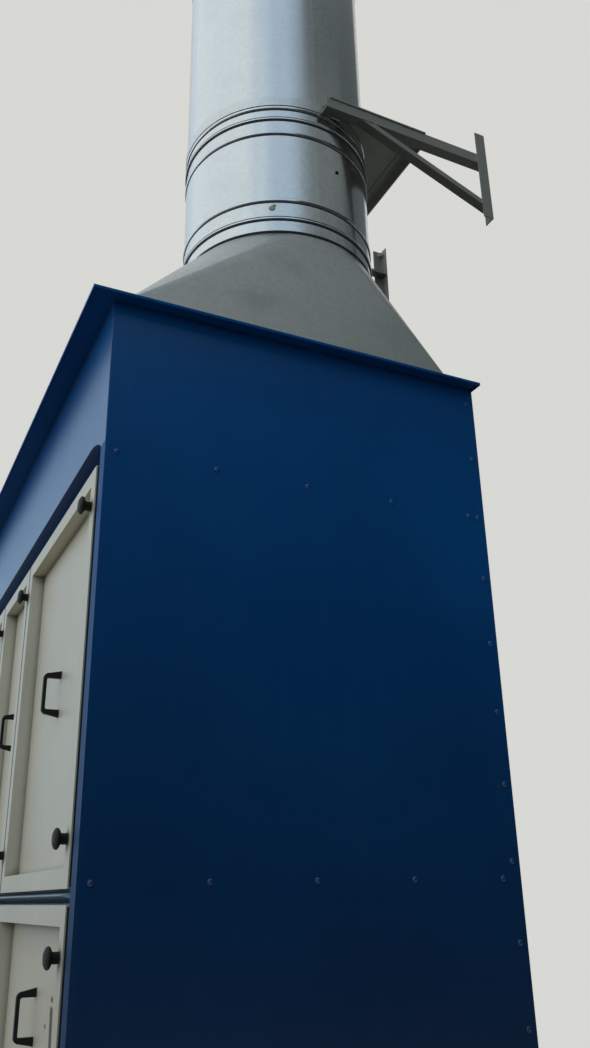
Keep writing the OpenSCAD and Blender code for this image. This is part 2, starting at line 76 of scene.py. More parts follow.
def add_node(tree, kind, links=None, **settings):
    """Adds a shader node with its settings. A socket takes a number, a hex colour, a socket or a node."""
    node = tree.nodes.new("ShaderNode" + kind)
    for name, value in settings.items():
        setattr(node, name, value)
    for socket, value in (links or {}).items():
        if isinstance(value, bpy.types.Node):
            value = next(output for output in value.outputs if output.enabled)
        if isinstance(value, bpy.types.NodeSocket):
            tree.links.new(value, node.inputs[socket])
        else:
            node.inputs[socket].default_value = linear(value) if isinstance(value, str) else value
    return node


def new_material(name):
    """Makes a material without nodes, and returns it with its node tree."""
    material = bpy.data.materials.new(name)
    material.use_nodes = True
    material.node_tree.nodes.clear()
    return material, material.node_tree


def heading_at(angle):
    """The level way that an angle in radians points."""
    return Vector((math.cos(angle), math.sin(angle), 0.0))


backdrop_colour = "#cfcfcb"
backdrop_way = (-0.899, 0.438, 0.0)
studio = bpy.data.worlds.new("studio")
studio.use_nodes = True
scene.world = studio
tree = studio.node_tree
tree.nodes.clear()
direction = add_node(tree, "TexCoord").outputs["Generated"]
height = add_node(tree, "SeparateXYZ", {"Vector": direction}).outputs["Z"]
flattened = add_node(tree, "VectorMath", {0: direction, 1: (1.0, 1.0, 0.0)}, operation="MULTIPLY")
heading = add_node(tree, "VectorMath", {0: flattened}, operation="NORMALIZE")
heading_axes = add_node(tree, "SeparateXYZ", {"Vector": heading})
toward_x = heading_axes.outputs["X"]
toward_y = heading_axes.outputs["Y"]
to_backdrop = add_node(tree, "VectorMath", {0: heading, 1: backdrop_way}, operation="DOT_PRODUCT")
# The backdrop reaches 24 degrees to each side of its middle and fades out by 35 degrees.
faded_out, still_full = math.cos(math.radians(35)), math.cos(math.radians(24))
# Each share grows smoothly from none at the first number, a height or a heading, to all at the second.
share = {}
for name, value, first, second in (
        ("high_light", height, 0.48, 0.58),
        ("doors_light", toward_x, -0.97, -0.80),
        ("end_light", toward_x, 0.45, 1.0),
        ("away_from_end", toward_x, 0.6, 0.2),
        ("mid_shade", height, 0.54, 0.66),
        ("high_shade", height, 0.74, 1.0),
        ("strip_foot", height, 0.54, 0.64),
        ("strip_top", height, 0.76, 0.70),
        ("strip_end", toward_x, 0.25, 0.65),
        ("backdrop", to_backdrop, faded_out, still_full),
        ("sharp_edge", toward_y, -0.02, -0.09),
        ("soft_edge", toward_y, 0.52, -0.24),
        ("high_up", height, 0.45, 0.68),
        ("near_end", toward_x, 0.2, 0.6),
        ("ground", height, 0.0, -0.03)):
    share[name] = add_node(tree, "MapRange", {"Value": value, "From Min": first, "From Max": second},
                           interpolation_type="SMOOTHSTEP")
# In a Mix node, socket 0 is the share, 6 and 7 are the two colours, and 2 and 3 are the two numbers. The
# light is bluer along the cabinet and whiter square to the doors.
lit_far = add_node(tree, "Mix", {0: share["high_light"], 6: "#adcae0", 7: "#d2e1ed"}, data_type="RGBA")
lit = add_node(tree, "Mix", {0: share["doors_light"], 6: lit_far, 7: "#eef6fb"}, data_type="RGBA")
lit_end = add_node(tree, "Mix", {0: share["end_light"], 6: lit, 7: "#bdd0e2"}, data_type="RGBA")
low_shade = add_node(tree, "Mix", {0: share["away_from_end"], 6: "#202426", 7: "#6c7276"}, data_type="RGBA")
mid_shade = add_node(tree, "Mix", {0: share["mid_shade"], 6: low_shade, 7: "#585e5e"}, data_type="RGBA")
shade = add_node(tree, "Mix", {0: share["high_shade"], 6: mid_shade, 7: "#b4baba"}, data_type="RGBA")
# A paler strip in the shade at the end of the cabinet gives the lowest duct piece its grey band.
strip_rise = add_node(tree, "Math", {0: share["strip_foot"], 1: share["strip_top"]}, operation="MULTIPLY")
strip = add_node(tree, "Math", {0: strip_rise, 1: share["strip_end"]}, operation="MULTIPLY")
shade = add_node(tree, "Mix", {0: strip, 6: shade, 7: "#7c8280"}, data_type="RGBA")
behind = add_node(tree, "Mix", {0: share["backdrop"], 6: shade, 7: backdrop_colour}, data_type="RGBA")
# High up at the end of the cabinet the light fades slowly into the shade, and elsewhere at a sharp edge.
high_end = add_node(tree, "Math", {0: share["high_up"], 1: share["near_end"]}, operation="MULTIPLY")
edge = add_node(tree, "Mix", {0: high_end, 2: share["sharp_edge"], 3: share["soft_edge"]}, data_type="FLOAT")
upper = add_node(tree, "Mix", {0: edge, 6: behind, 7: lit_end}, data_type="RGBA")
# Beyond the edge of the floor the studio goes on below the horizon in a grey that dims at the cabinet's end.
ground = add_node(tree, "Mix", {0: share["away_from_end"], 6: "#36373a", 7: "#7c7e7e"}, data_type="RGBA")
around = add_node(tree, "Mix", {0: share["ground"], 6: upper, 7: ground}, data_type="RGBA")
seen = add_node(tree, "LightPath").outputs["Is Camera Ray"]
shown = add_node(tree, "Mix", {0: seen, 6: around, 7: backdrop_colour}, data_type="RGBA")
glow = add_node(tree, "Background", {"Color": shown, "Strength": 1.1})
add_node(tree, "OutputWorld", {"Surface": glow})

floor_r = 6.5
floor_corners = 128
turns = [2 * math.pi * corner / floor_corners for corner in range(floor_corners)]
floor_mesh = bpy.data.meshes.new("floor")
floor_mesh.from_pydata([heading_at(turn) * floor_r for turn in turns], [], [range(floor_corners)])
floor = bpy.data.objects.new("floor", floor_mesh)
scene.collection.objects.link(floor)
# The floor looks pale, also in what mirrors it, and throws back less light than it shows.
floor_paint, tree = new_material("plain_floor")
rays = add_node(tree, "LightPath").outputs
seen = add_node(tree, "Math", {0: rays["Is Camera Ray"], 1: rays["Is Glossy Ray"]}, operation="ADD")
seen = add_node(tree, "Math", {0: seen, 1: rays["Is Transmission Ray"]}, operation="ADD")
floor_colour = add_node(tree, "Mix", {0: seen, 6: "#62625c", 7: "#fdf8ec"}, data_type="RGBA")
floor_shader = add_node(tree, "BsdfPrincipled", {"Base Color": floor_colour, "Roughness": 0.9})
add_node(tree, "OutputMaterial", {"Surface": floor_shader})
floor_mesh.materials.append(floor_paint)


# The cabinet skin, roof, frame and base are folded steel sheet in blue powder coat. It is glossy with a fine
# orange peel, so it mirrors the light softly. Rain leaves faint runs and dust lies on what faces up. Painted
# shade darkens the coat towards the bottom.
def per_mm(*sizes):
    """Scale of a pattern with marks of one size in millimetres, or of three sizes along X, Y and Z."""
    scales = [1000.0 / size for size in sizes]
    return scales if len(scales) > 1 else scales[0]


def run_down(tree, place, x, top_z, half_width, length, lean):
    """Share of a stain that has run down from x, top_z on a sheet that faces forwards, leaning to +X."""
    axes = add_node(tree, "SeparateXYZ", {"Vector": place})
    skewed = add_node(tree, "Math", {0: axes.outputs["Z"], 1: lean, 2: axes.outputs["X"]},
                      operation="MULTIPLY_ADD")
    off_line = add_node(tree, "Math", {0: skewed, 1: x + top_z * lean}, operation="SUBTRACT")
    aside = add_node(tree, "Math", {0: off_line}, operation="ABSOLUTE")
    share = 1.0
    for value, first, second in ((aside, half_width, half_width * 0.5),
                                 (axes.outputs["Z"], top_z, top_z - 0.01),
                                 (axes.outputs["Z"], top_z - length, top_z - length * 0.6)):
        inside = add_node(tree, "MapRange", {"Value": value, "From Min": first, "From Max": second},
                          interpolation_type="SMOOTHSTEP")
        share = add_node(tree, "Math", {0: share, 1: inside}, operation="MULTIPLY")
    return share


def powder_coat(name, paint, faded, dust_and_shade, roughness, run_share, bottom_shade, corner_shade=0.0, fold_mm=3.0,
                shine=0.5, stains=()):
    """Powder coat on steel: runs, dust, orange peel, soft folds, painted shade low down, and dirt and shade
    in corners.
    """
    material, tree = new_material(name)
    place = add_node(tree, "TexCoord").outputs["Object"]
    blots = add_node(tree, "TexNoise", {"Vector": place, "Scale": per_mm(700), "Detail": 3.0})
    patches = add_node(tree, "MapRange", {"Value": blots, "From Min": 0.35, "From Max": 0.7},
                       interpolation_type="SMOOTHSTEP")
    coat = add_node(tree, "Mix", {0: patches, 6: paint, 7: faded}, data_type="RGBA")
    # Painted shade darkens the coat towards the bottom: full below knee height, fading out by head height
    # and above.
    rise = add_node(tree, "SeparateXYZ", {"Vector": place}).outputs["Z"]
    bottom_shade_share = add_node(tree, "MapRange", {"Value": rise, "From Min": 0.9, "From Max": 3.1,
                                         "To Min": bottom_shade, "To Max": 0.0}, interpolation_type="SMOOTHSTEP")
    bottom_shaded = add_node(tree, "Mix", {0: bottom_shade_share, 6: coat, 7: "#05090c"}, data_type="RGBA")
    # Rain runs are about 25 mm wide and half a metre long.
    drawn_down = add_node(tree, "Mapping", {"Vector": place, "Scale": per_mm(25, 25, 500)})
    streaks = add_node(tree, "TexNoise", {"Vector": drawn_down, "Scale": 1.0, "Detail": 4.0})
    runs = add_node(tree, "MapRange", {"Value": streaks, "From Min": 0.52, "From Max": 0.8,
                                       "To Min": 0.0, "To Max": run_share}, interpolation_type="SMOOTHSTEP")
    # Dust settles on what faces up. The corners are darkened towards the same colour, partly as dirt and
    # partly as painted shade.
    way = add_node(tree, "NewGeometry").outputs["Normal"]
    tilt = add_node(tree, "SeparateXYZ", {"Vector": way}).outputs["Z"]
    settled = add_node(tree, "MapRange", {"Value": tilt, "From Min": 0.4, "From Max": 0.95,
                                          "To Min": 0.0, "To Max": 0.5}, interpolation_type="SMOOTHSTEP")
    hollow = add_node(tree, "AmbientOcclusion", {"Distance": 0.04}, samples=6).outputs["AO"]
    corner_dirt_and_shade = add_node(tree, "MapRange", {"Value": hollow, "From Min": 0.75, "From Max": 0.35, "To Min": 0.0,
                                         "To Max": corner_shade}, interpolation_type="SMOOTHSTEP")
    loose = add_node(tree, "Math", {0: runs, 1: settled}, operation="MAXIMUM")
    grime_and_corner_shade = add_node(tree, "Math", {0: loose, 1: corner_dirt_and_shade}, operation="MAXIMUM")
    dirt_and_shade = add_node(tree, "Mix", {0: grime_and_corner_shade, 6: bottom_shaded, 7: dust_and_shade}, data_type="RGBA")
    for stain in stains:
        stained = run_down(tree, place, *stain)
        dirt_and_shade = add_node(tree, "Mix", {0: stained, 6: dirt_and_shade, 7: "#463a2e"}, data_type="RGBA")
    rough = add_node(tree, "MapRange", {"Value": grime_and_corner_shade, "From Min": 0.0, "From Max": 0.6,
                                        "To Min": roughness, "To Max": 0.75})
    fold = add_node(tree, "Bevel", {"Radius": fold_mm / 1000}, samples=4)
    # Sheet is never quite flat: it waves by a fraction of a millimetre over half a metre.
    waves = add_node(tree, "TexNoise", {"Vector": place, "Scale": per_mm(450), "Detail": 1.0})
    waved = add_node(tree, "Bump", {"Height": waves, "Distance": 0.004, "Strength": 0.6, "Normal": fold})
    # Real orange peel is 1 to 2 mm wide. It is drawn at 6 mm, so that it shows at this distance.
    peel = add_node(tree, "TexNoise", {"Vector": place, "Scale": per_mm(6), "Detail": 2.0})
    peeled = add_node(tree, "Bump", {"Height": peel, "Distance": 0.0004, "Strength": 0.25, "Normal": waved})
    shader = add_node(tree, "BsdfPrincipled", {"Base Color": dirt_and_shade, "Roughness": rough,
                                               "Specular IOR Level": shine, "Normal": peeled})
    add_node(tree, "OutputMaterial", {"Surface": shader})
    return material


def coat_nodes(names, material):
    """Gives CAD nodes their finish."""
    for name in names:
        for material_slot in nodes[name].material_slots:
            material_slot.material = material


# This coat and its copies below are darkened towards the bottom as painted shade, strongly here.
blue_powder_coat = powder_coat("blue_powder_coat", "#045190", "#06599a", "#7e8a94",
                               roughness=0.24, run_share=0.015, bottom_shade=0.75)
blue_names = [name for name in nodes if name.startswith((
    "base_rail", "floor_pan", "corner_post", "mullion", "rear_mullions", "end_", "back_panel", "roof_pan",
    "header_fascia", "front_apron", "mid_rail"))]
coat_nodes(blue_names, blue_powder_coat)
# Hands and lifted doors have rubbed the front posts dull, as weather has the roof. The rail between the
# doors is painted a paler blue all over as painted light, standing for the sky light on its drip nose.
rubbed_powder_coat = powder_coat("rubbed_blue_powder_coat", "#045190", "#06599a", "#7e8a94",
                                 roughness=0.42, run_share=0.015, bottom_shade=0.75, shine=0.06)
coat_nodes(["corner_post_front_right", "corner_post_front_left", "roof_pan"], rubbed_powder_coat)
painted_light_powder_coat = powder_coat("painted_light_blue_powder_coat", "#5c86a4", "#7094ae", "#b4c1ca",
                               roughness=0.35, run_share=0.35, bottom_shade=0.10, fold_mm=2.0)
coat_nodes(["mid_rail"], painted_light_powder_coat)


# Painted button-head rivets hold each end panel to the posts and to the three rails behind it, and the back
# panels to the posts and tubes behind them. They are steel, set before painting, so the coat covers them.
def new_piece(name, shape, material, crease=30.0):
    """Makes a piece that rides on the cabinet, smooth but for edges sharper than the crease angle."""
    mesh = bpy.data.meshes.new(name)
    shape.to_mesh(mesh)
    shape.free()
    for polygon in mesh.polygons:
        polygon.use_smooth = True
    mesh.set_sharp_from_angle(angle=math.radians(crease))
    mesh.materials.append(material)
    piece = bpy.data.objects.new(name, mesh)
    scene.collection.objects.link(piece)
    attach(piece, "root")
    return piece


def add_turned(shape, outline, place, axis, steps=16, spin=0.0):
    """Adds a solid turned from an outline of (radius, height) points, standing at place along axis."""
    turn = Vector((0, 0, 1)).rotation_difference(Vector(axis)).to_matrix()
    rings = []
    for radius, rise in outline:
        angles = [0.0] if radius == 0 else [spin + 2 * math.pi * step / steps for step in range(steps)]
        spots = [heading_at(angle) * radius + Vector((0, 0, rise)) for angle in angles]
        rings.append([shape.verts.new(Vector(place) + turn @ spot) for spot in spots])
    for low, high in zip(rings, rings[1:]):
        for step in range(steps):
            after = (step + 1) % steps
            corners = [low[step % len(low)], low[after % len(low)]]
            corners += [high[after % len(high)], high[step % len(high)]]
            shape.faces.new(dict.fromkeys(corners))


def dome_outline(d, h):
    """Outline of a button head on a short skirt, from its buried foot to its crown."""
    rings = 5
    outline = [(0, -0.001), (d / 2, -0.001)]
    for ring in range(rings):
        angle = math.pi / 2 * ring / rings
        outline.append((d / 2 * math.cos(angle), h * (0.15 + 0.85 * math.sin(angle))))
    return outline + [(0, h)]


rivet_head_d = 0.017
rivet_head_h = 0.006
rivet_pitch = 0.300
edge_rivet_pitch = 0.217
rows_z = (0.454, 1.586, 2.718)
row_rivets_y = [-0.616 + rivet_pitch * step for step in range(5)]
edge_rivets_z = [3.152 - edge_rivet_pitch * step for step in range(14)]
edge_rivets_y = 0.622
end_face_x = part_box("end_panel_right")[1].x
for side, side_name in ((1, "right"), (-1, "left")):
    rivets = bmesh.new()
    spots = [(y, z) for y in row_rivets_y for z in rows_z]
    spots += [(edge_rivets_y, z) for z in edge_rivets_z]
    for y, z in spots:
        add_turned(rivets, dome_outline(rivet_head_d, rivet_head_h), (side * end_face_x, y, z), (side, 0, 0))
    new_piece("end_panel_rivets_" + side_name, rivets, blue_powder_coat)
# The back panels meet at two seams, with a line of rivets on each side of a seam.
back_face_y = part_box("back_panel_middle")[1].y
back_edge_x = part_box("back_panel_right")[1].x
back_seam_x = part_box("back_panel_middle")[1].x
edge_inset, seam_inset = 0.025, 0.0205
back_rivets = bmesh.new()
for side in (1, -1):
    for x in (back_edge_x - edge_inset, back_seam_x + seam_inset, back_seam_x - seam_inset):
        for z in edge_rivets_z:
            spot = (side * x, back_face_y, z)
            add_turned(back_rivets, dome_outline(rivet_head_d, rivet_head_h), spot, (0, 1, 0))
new_piece("back_panel_rivets", back_rivets, blue_powder_coat)


# The doors are folded pans in a cream powder coat, a little warmer and softer than the blue. Hands, rain and
# dust have greyed it. It is darkened towards the bottom, and in the corners partly as dirt, by painted
# shade.
def cream_coat(name, stains=()):
    """Cream powder coat for a door, with the stains that the door has."""
    return powder_coat(name, "#d6d0bc", "#cdc8b6", "#615d49", roughness=0.42, run_share=0.06,
                       bottom_shade=0.22, corner_shade=0.8, fold_mm=2.0, stains=stains)


door_names = [name for name in nodes if "_door_" in name and not name.endswith(("handles", "knobs"))]
coat_nodes(door_names, cream_coat("cream_powder_coat"))
# Rusty water has run down from a scratch beside the handle of one lower door, and two chips there have
# rusted. Each mark has its x, the z of its top, half its width, its length and how far it leans.
scratch_run = (0.978, 1.298, 0.022, 0.22, 0.11)
upper_chip = (0.978, 1.322, 0.016, 0.022, 0.0)
lower_chip = (0.915, 1.252, 0.014, 0.018, 0.0)
coat_nodes(["lower_door_right"],
           cream_coat("cream_powder_coat_rust_stained", (scratch_run, upper_chip, lower_chip)))


# The bridge handles and mushroom knobs are moulded in black glass-filled nylon.
# The mould's grain leaves them matt, with a grey sheen on the edges.
def grained_nylon():
    """Moulded black nylon with a fine matt grain."""
    material, tree = new_material("black_glass_filled_nylon")
    place = add_node(tree, "TexCoord").outputs["Object"]
    clouds = add_node(tree, "TexNoise", {"Vector": place, "Scale": per_mm(40), "Detail": 3.0})
    colour = add_node(tree, "Mix", {0: clouds, 6: "#030303", 7: "#0b0b0a"}, data_type="RGBA")
    # The grain is 0.5 mm wide, drawn at 1.5 mm.
    grain = add_node(tree, "TexNoise", {"Vector": place, "Scale": per_mm(1.5), "Detail": 2.0})
    grained = add_node(tree, "Bump", {"Height": grain, "Distance": 0.0003, "Strength": 0.4})
    shader = add_node(tree, "BsdfPrincipled", {"Base Color": colour, "Roughness": 0.6,
                                               "Specular IOR Level": 0.3, "Normal": grained})
    add_node(tree, "OutputMaterial", {"Surface": shader})
    return material


black_nylon = grained_nylon()
coat_nodes(["upper_door_handles", "lower_door_handles", "upper_door_knobs", "lower_door_knobs"], black_nylon)


# A black rubber bulb seal is pressed on the outer side of each outer door. It shows as a dark line in the
# gap beside the corner post. The extruded rubber is matt with fine lines along it.
def extruded_rubber():
    """Black extruded rubber with fine lines along it."""
    material, tree = new_material("black_epdm_rubber")
    place = add_node(tree, "TexCoord").outputs["Object"]
    clouds = add_node(tree, "TexNoise", {"Vector": place, "Scale": per_mm(60), "Detail": 3.0})
    colour = add_node(tree, "Mix", {0: clouds, 6: "#050606", 7: "#15171a"}, data_type="RGBA")
    # The lines are 2 mm wide and 300 mm long.
    lengthwise = add_node(tree, "Mapping", {"Vector": place, "Scale": per_mm(2, 2, 300)})
    lines = add_node(tree, "TexNoise", {"Vector": lengthwise, "Scale": 1.0, "Detail": 1.0})
    drawn = add_node(tree, "Bump", {"Height": lines, "Distance": 0.0004, "Strength": 0.5})
    shader = add_node(tree, "BsdfPrincipled", {"Base Color": colour, "Roughness": 0.7,
                                               "Specular IOR Level": 0.15, "Normal": drawn})
    add_node(tree, "OutputMaterial", {"Surface": shader})
    return material


def join_rings(shape, rings):
    """Adds the faces between rings of points, and closes both ends."""
    for near, far in zip(rings, rings[1:]):
        for step in range(len(near)):
            after = (step + 1) % len(near)
            shape.faces.new((near[step], near[after], far[after], far[step]))
    shape.faces.new(rings[0][::-1])
    shape.faces.new(rings[-1])


def add_prism(shape, outline, start, end, axes):
    """Adds a bar with a closed outline in the two given axes, from start to end along the third axis."""
    along = ({0, 1, 2} - set(axes)).pop()
    rings = []
    for place in (start, end):
        ring = []
        for first, second in outline:
            spot = [0.0, 0.0, 0.0]
            spot[axes[0]] = first
            spot[axes[1]] = second
            spot[along] = place
            ring.append(shape.verts.new(spot))
        rings.append(ring)
    join_rings(shape, rings)


black_rubber = extruded_rubber()
bulb_r, bulb_out = 0.004, 0.002
tail_t, tail_clear = 0.003, 0.002
seal_inset, seal_sunk = 0.004, 0.0005
for name in ("upper_door_right", "upper_door_left", "lower_door_right", "lower_door_left"):
    door_low, door_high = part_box(name)
    side = 1 if name.endswith("right") else -1
    edge_x = door_high.x if side > 0 else door_low.x
    # From above: a round bulb at the door's face and a thinner tail behind it, sunk a little into the door.
    outline = [(-seal_sunk, seal_inset)]
    for step in range(7):
        angle = math.radians(-90 + 30 * step)
        outline.append((bulb_out + bulb_r * math.cos(angle), seal_inset + bulb_r * (1 + math.sin(angle))))
    tail_end = door_high.y - door_low.y - tail_clear
    outline += [(tail_t, tail_end), (-seal_sunk, tail_end)]
    seal = bmesh.new()
    add_prism(seal, [(edge_x + side * out, door_low.y + back) for out, back in outline],
              door_low.z + seal_inset, door_high.z - seal_inset, (0, 1))
    bmesh.ops.recalc_face_normals(seal, faces=seal.faces)
    new_piece(name + "_seal", seal, black_rubber)


# The stack is rolled from bright zinc-coated sheet. The rolls leave long flats up and down it, so what it
# mirrors breaks into soft upright bands, and the zinc has a faint spangle.
def zinc_sheet(name, bright, dull, roughness, band_mm, band_depth, stain, stain_share):
    """Zinc on steel with spangle, clouds of stain, corners darkened by dirt and painted shade, scratches and
    roll bands.
    """
    material, tree = new_material(name)
    place = add_node(tree, "TexCoord").outputs["Object"]
    # Zinc crystals are 8 to 20 mm across.
    spangle = add_node(tree, "TexVoronoi", {"Vector": place, "Scale": per_mm(16)})
    tone = add_node(tree, "SeparateColor", {"Color": spangle.outputs["Color"]}).outputs["Red"]
    dulled = add_node(tree, "MapRange", {"Value": tone, "From Min": 0.0, "From Max": 1.0,
                                         "To Min": 0.0, "To Max": 0.3}, interpolation_type="SMOOTHSTEP")
    zinc = add_node(tree, "Mix", {0: dulled, 6: bright, 7: dull}, data_type="RGBA")
    clouds = add_node(tree, "TexNoise", {"Vector": place, "Scale": per_mm(260), "Detail": 5.0})
    stained = add_node(tree, "MapRange", {"Value": clouds, "From Min": 0.5, "From Max": 0.85, "To Min": 0.0,
                                          "To Max": stain_share}, interpolation_type="SMOOTHSTEP")
    aged = add_node(tree, "Mix", {0: stained, 6: zinc, 7: stain}, data_type="RGBA")
    # Dust and rust water stay in the corners under the beads, lips and folds, and the corners are also
    # darkened as painted shade.
    hollow = add_node(tree, "AmbientOcclusion", {"Distance": 0.02}, samples=6).outputs["AO"]
    corner_dirt_and_shade = add_node(tree, "MapRange", {"Value": hollow, "From Min": 0.8, "From Max": 0.45,
                                         "To Min": 0.0, "To Max": 0.7}, interpolation_type="SMOOTHSTEP")
    corner_shaded = add_node(tree, "Mix", {0: corner_dirt_and_shade, 6: aged, 7: "#23211d"}, data_type="RGBA")
    # Handling leaves thin scratches, drawn 3 mm wide and up to 120 mm long.
    skewed = add_node(tree, "Mapping", {"Vector": place, "Rotation": (0.5, 0.3, 0.0)})
    drawn_out = add_node(tree, "Mapping", {"Vector": skewed, "Scale": per_mm(3, 3, 120)})
    strokes = add_node(tree, "TexNoise", {"Vector": drawn_out, "Scale": 1.0, "Detail": 2.0})
    scratched = add_node(tree, "MapRange", {"Value": strokes, "From Min": 0.68, "From Max": 0.74},
                         interpolation_type="SMOOTHSTEP")
    rough = add_node(tree, "MapRange", {"Value": tone, "From Min": 0.0, "From Max": 1.0,
                                        "To Min": roughness - 0.03, "To Max": roughness + 0.04})
    marred = add_node(tree, "Mix", {0: scratched, 2: rough, 3: 0.5}, data_type="FLOAT")
    upright = add_node(tree, "Mapping", {"Vector": place, "Scale": per_mm(band_mm, band_mm, 4000)})
    bands = add_node(tree, "TexNoise", {"Vector": upright, "Scale": 1.0, "Detail": 1.0})
    rolled = add_node(tree, "Bump", {"Height": bands, "Distance": band_depth, "Strength": 1.0})
    shader = add_node(tree, "BsdfPrincipled", {"Base Color": corner_shaded, "Metallic": 1.0, "Roughness": marred,
                                               "Normal": rolled})
    add_node(tree, "OutputMaterial", {"Surface": shader})
    return material


bright_zinc_sheet = zinc_sheet("bright_zinc_sheet", "#cbcfd0", "#bec3c5", roughness=0.17, band_mm=110,
                               band_depth=0.006, stain="#a3a7a4", stain_share=0.22)
duct_names = ["hood_collar", "stack_spool", "stack_lower_section", "stack_upper_section"]
coat_nodes(duct_names, bright_zinc_sheet)


# A dark grey ring of mastic under each rolled bead and each lip at a joint stands for the grime and the
# shade
# in the groove there: partly dirt, partly painted shade. It is matt and a little lumpy. Each duct length has
# a lengthwise lock seam at the back, towards the wall.
def wiped_mastic(name, dark, pale):
    """Matt duct sealant with the small lumps that a finger leaves."""
    material, tree = new_material(name)
    place = add_node(tree, "TexCoord").outputs["Object"]
    clouds = add_node(tree, "TexNoise", {"Vector": place, "Scale": per_mm(30), "Detail": 4.0})
    colour = add_node(tree, "Mix", {0: clouds, 6: dark, 7: pale}, data_type="RGBA")
    lumps = add_node(tree, "TexNoise", {"Vector": place, "Scale": per_mm(9), "Detail": 3.0})
    lumpy = add_node(tree, "Bump", {"Height": lumps, "Distance": 0.0012, "Strength": 0.6})
    shader = add_node(tree, "BsdfPrincipled", {"Base Color": colour, "Roughness": 0.7, "Normal": lumpy})
    add_node(tree, "OutputMaterial", {"Surface": shader})
    return material


def add_hoop(shape, centre, outline):
    """Adds a ring round a standing axis, from a closed outline of (radius, height) points."""
    steps = 96
    rings = []
    for step in range(steps):
        way = heading_at(2 * math.pi * step / steps)
        spots = [centre + way * radius + Vector((0, 0, rise)) for radius, rise in outline]
        rings.append([shape.verts.new(spot) for spot in spots])
    for step in range(steps):
        near, far = rings[step], rings[(step + 1) % steps]
        for corner in range(len(outline)):
            after = (corner + 1) % len(outline)
            shape.faces.new((near[corner], far[corner], far[after], near[after]))


# The dark rings made with this mastic stand in for grime and painted shade under the beads and lips.
grimy_shade_mastic = wiped_mastic("duct_grime_and_shade_mastic", "#1c2022", "#3b3f40")
spool_low, spool_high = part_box("stack_spool")
stack_axis = Vector(((spool_low.x + spool_high.x) / 2, (spool_low.y + spool_high.y) / 2, 0.0))
stack_r = 0.400
# Where two lengths meet, the lips on them reach 8 mm up and down. Beads are rolled in near the joints.
lip_h = 0.008
bead_above, bead_below, spool_bead = 0.055, 0.079, 0.085
bead_r = 0.0075
collar_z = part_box("hood_collar")[0].z
spool_z = spool_low.z
lower_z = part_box("stack_lower_section")[0].z
upper_z, rim_z = (corner.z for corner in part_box("stack_upper_section"))
bead_z = (spool_z + spool_bead, lower_z - bead_below, lower_z + bead_above, upper_z - bead_below,
          upper_z + bead_above)
lip_fillet = [(-0.0005, 0.0), (0.0045, 0.0), (0.0030, -0.007), (-0.0005, -0.009)]
bead_fillet = [(-0.0005, 0.0), (0.0022, 0.0), (0.0018, -0.006), (-0.0005, -0.0085)]
fillets = [(collar_z + lip_h, lip_fillet)]
fillets += [(z - lip_h, lip_fillet) for z in (spool_z, lower_z, upper_z)]
fillets += [(z - bead_r, bead_fillet) for z in bead_z]
grimy_shade_rings = bmesh.new()
for top_z, fillet in fillets:
    add_hoop(grimy_shade_rings, stack_axis, [(stack_r + out, top_z + rise) for out, rise in fillet])
bmesh.ops.recalc_face_normals(grimy_shade_rings, faces=grimy_shade_rings.faces)
new_piece("duct_grime_and_shade_rings", grimy_shade_rings, grimy_shade_mastic, crease=50.0)


def on_duct(angle, z):
    """The point of the duct's skin at an angle in degrees and a height, and the way it faces."""
    way = heading_at(math.radians(angle))
    return stack_axis + way * stack_r + Vector((0, 0, z)), way


# A rubber plug closes the hole for the air flow probe, and an old dab of tan sealant sits above a joint.
plug = bmesh.new()
add_turned(plug, dome_outline(0.016, 0.005), *on_duct(13.5, 4.295))
new_piece("probe_hole_plug", plug, black_rubber)
dab = bmesh.new()
add_turned(dab, dome_outline(0.026, 0.003), *on_duct(-27.6, 4.040), steps=20)
add_turned(dab, dome_outline(0.014, 0.004), *on_duct(-26.4, 4.052), steps=12)
new_piece("sealant_dab", dab, wiped_mastic("old_tan_sealant", "#8f8876", "#c2bba6"))

# The lock seams stop short of the beads.
seam_outline = [(-0.006, -0.001), (0.006, -0.001), (0.005, 0.002), (-0.005, 0.002)]
back_of_stack = [(stack_axis.x + x, stack_axis.y + stack_r + y) for x, y in seam_outline]
seam_clear, seam_clear_above = 0.016, 0.015
seams = bmesh.new()
for low, high in ((bead_z[0], bead_z[1]), (bead_z[2], bead_z[3]), (bead_z[4], rim_z)):
    add_prism(seams, back_of_stack, low + seam_clear, high - seam_clear_above, (0, 1))
bmesh.ops.recalc_face_normals(seams, faces=seams.faces)
new_piece("duct_lock_seams", seams, bright_zinc_sheet)


# The hood is dull hot-dip galvanised sheet, weathered grey. Each corner is a cone sector that is bent along
# two lines and rolled between them. It stands in for the CAD hood, whose corners have flat facets.
dull_zinc_sheet = zinc_sheet("dull_zinc_sheet", "#b0b4b3", "#9fa4a3", roughness=0.36, band_mm=300,
                             band_depth=0.002, stain="#868a88", stain_share=0.5)
coat_nodes(["hood_flange"], dull_zinc_sheet)

hood_low, hood_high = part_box("hood")
hood_middle = (hood_low + hood_high) / 2
sheet_t = 0.003
corner_steps = 45


def folded(turned):
    """Where the sheet faces at an angle from 0 to 90 in a corner, with most of the turn at two bends."""
    if turned > 45:
        return 90 - folded(90 - turned)
    bends = ((0, 0), (16, 4), (24, 38), (45, 45))
    for (start, faced), (end, faced_end) in zip(bends, bends[1:]):
        if turned <= end:
            return faced + (faced_end - faced) * (turned - start) / (end - start)


def hood_mouth(angle, radius):
    """The point of the hood's mouth at an angle in degrees, and the level way along its edge there."""
    way = heading_at(math.radians(angle))
    return stack_axis + way * radius + Vector((0, 0, hood_high.z)), Vector((-way.y, way.x, 0))


